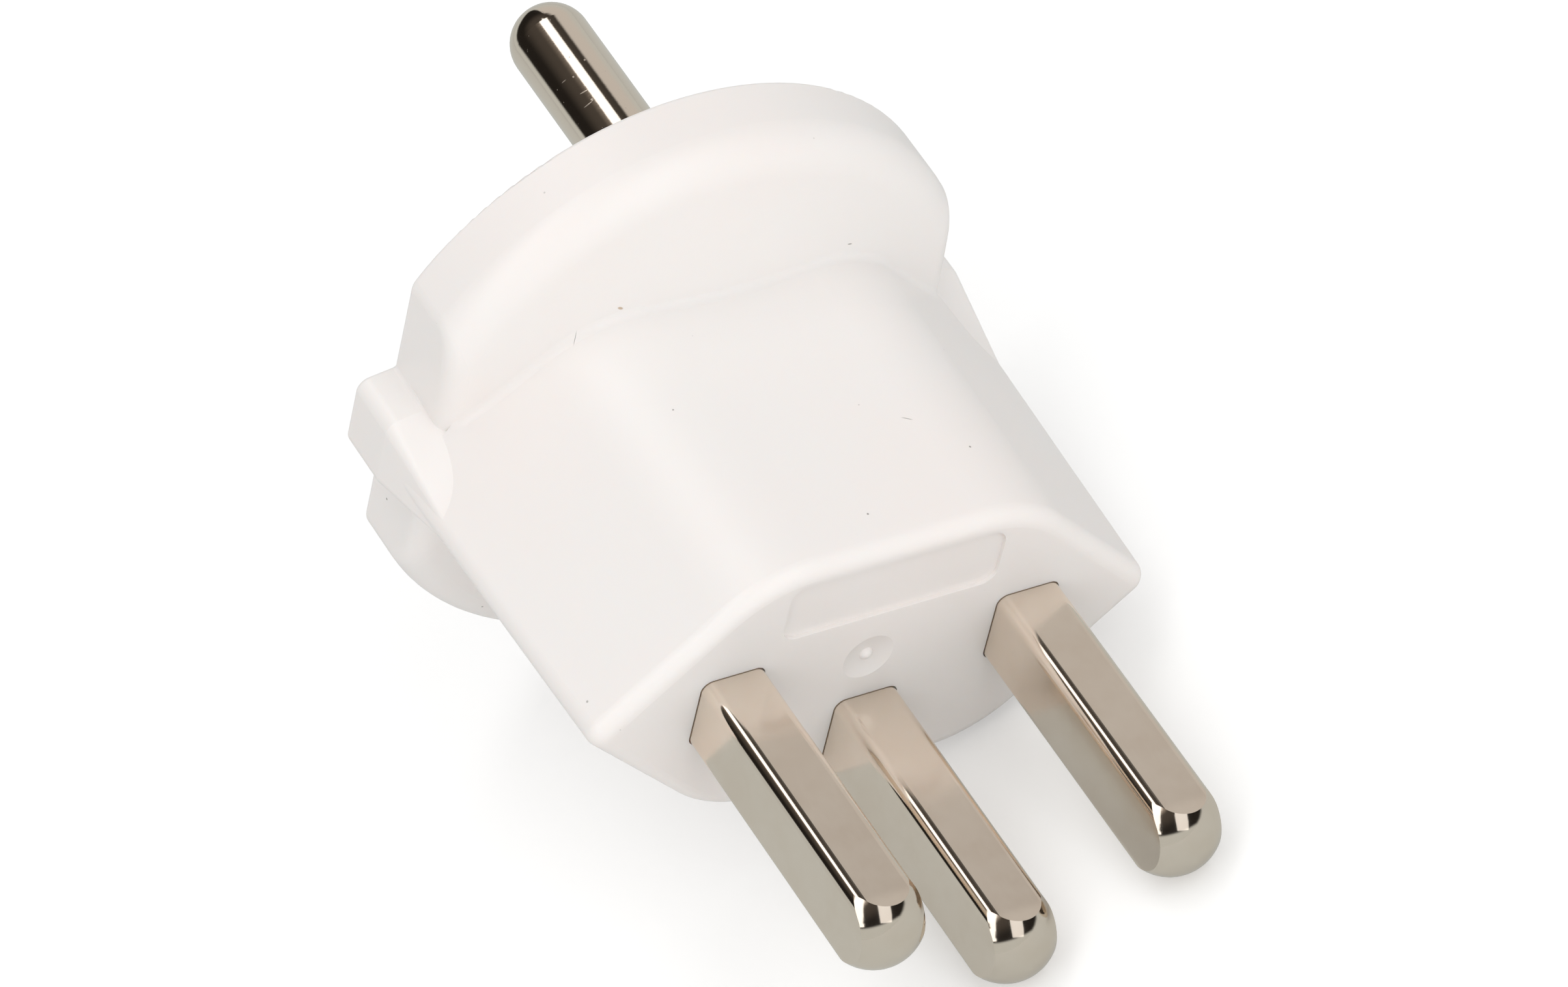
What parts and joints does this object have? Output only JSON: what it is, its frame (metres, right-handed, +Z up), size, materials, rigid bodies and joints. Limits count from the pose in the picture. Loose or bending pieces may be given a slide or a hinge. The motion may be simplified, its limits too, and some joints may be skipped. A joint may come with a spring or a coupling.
{
  "type": "plug adapter",
  "caption": "Mains plug adapter with a six-sided body, flat plug pins on one side and a round socket face with an earth pin on the other.",
  "frame": {"origin": "centre of the part's box, on the surface it lies on", "axes": "+Z up; the adapter lies on its side, with its axis mostly along Y: the socket side and the round earth pin towards +Y and a little up, the flat pins towards -Y"},
  "size_m": [0.0376, 0.0594, 0.0371],
  "materials": {
    "housing_plastic": "semi-gloss moulded, warm white",
    "cover_plastic": "semi-gloss moulded, warm white",
    "inner_plastic": "matt moulded, natural",
    "flat_pin_metal": "satin nickel plating",
    "round_pin_metal": "bright nickel plating",
    "contact_brass": "bare turned brass",
    "spring_steel": "drawn wire",
    "screw_steel": "zinc plated"
  },
  "bodies": {
    "root": {"housing": "housing_plastic", "contact_cover": "cover_plastic", "contact_separator": "inner_plastic", "line_pin": "flat_pin_metal", "neutral_pin": "flat_pin_metal", "earth_pin": "flat_pin_metal", "round_earth_pin": "round_pin_metal", "line_contact_sleeve": "contact_brass", "neutral_contact_sleeve": "contact_brass", "line_sleeve_spring": "spring_steel", "neutral_sleeve_spring": "spring_steel", "earth_bridge": "contact_brass", "pin_screws": "screw_steel", "pin_spring_washers": "spring_steel", "cover_screw": "screw_steel"}
  },
  "joints": []
}
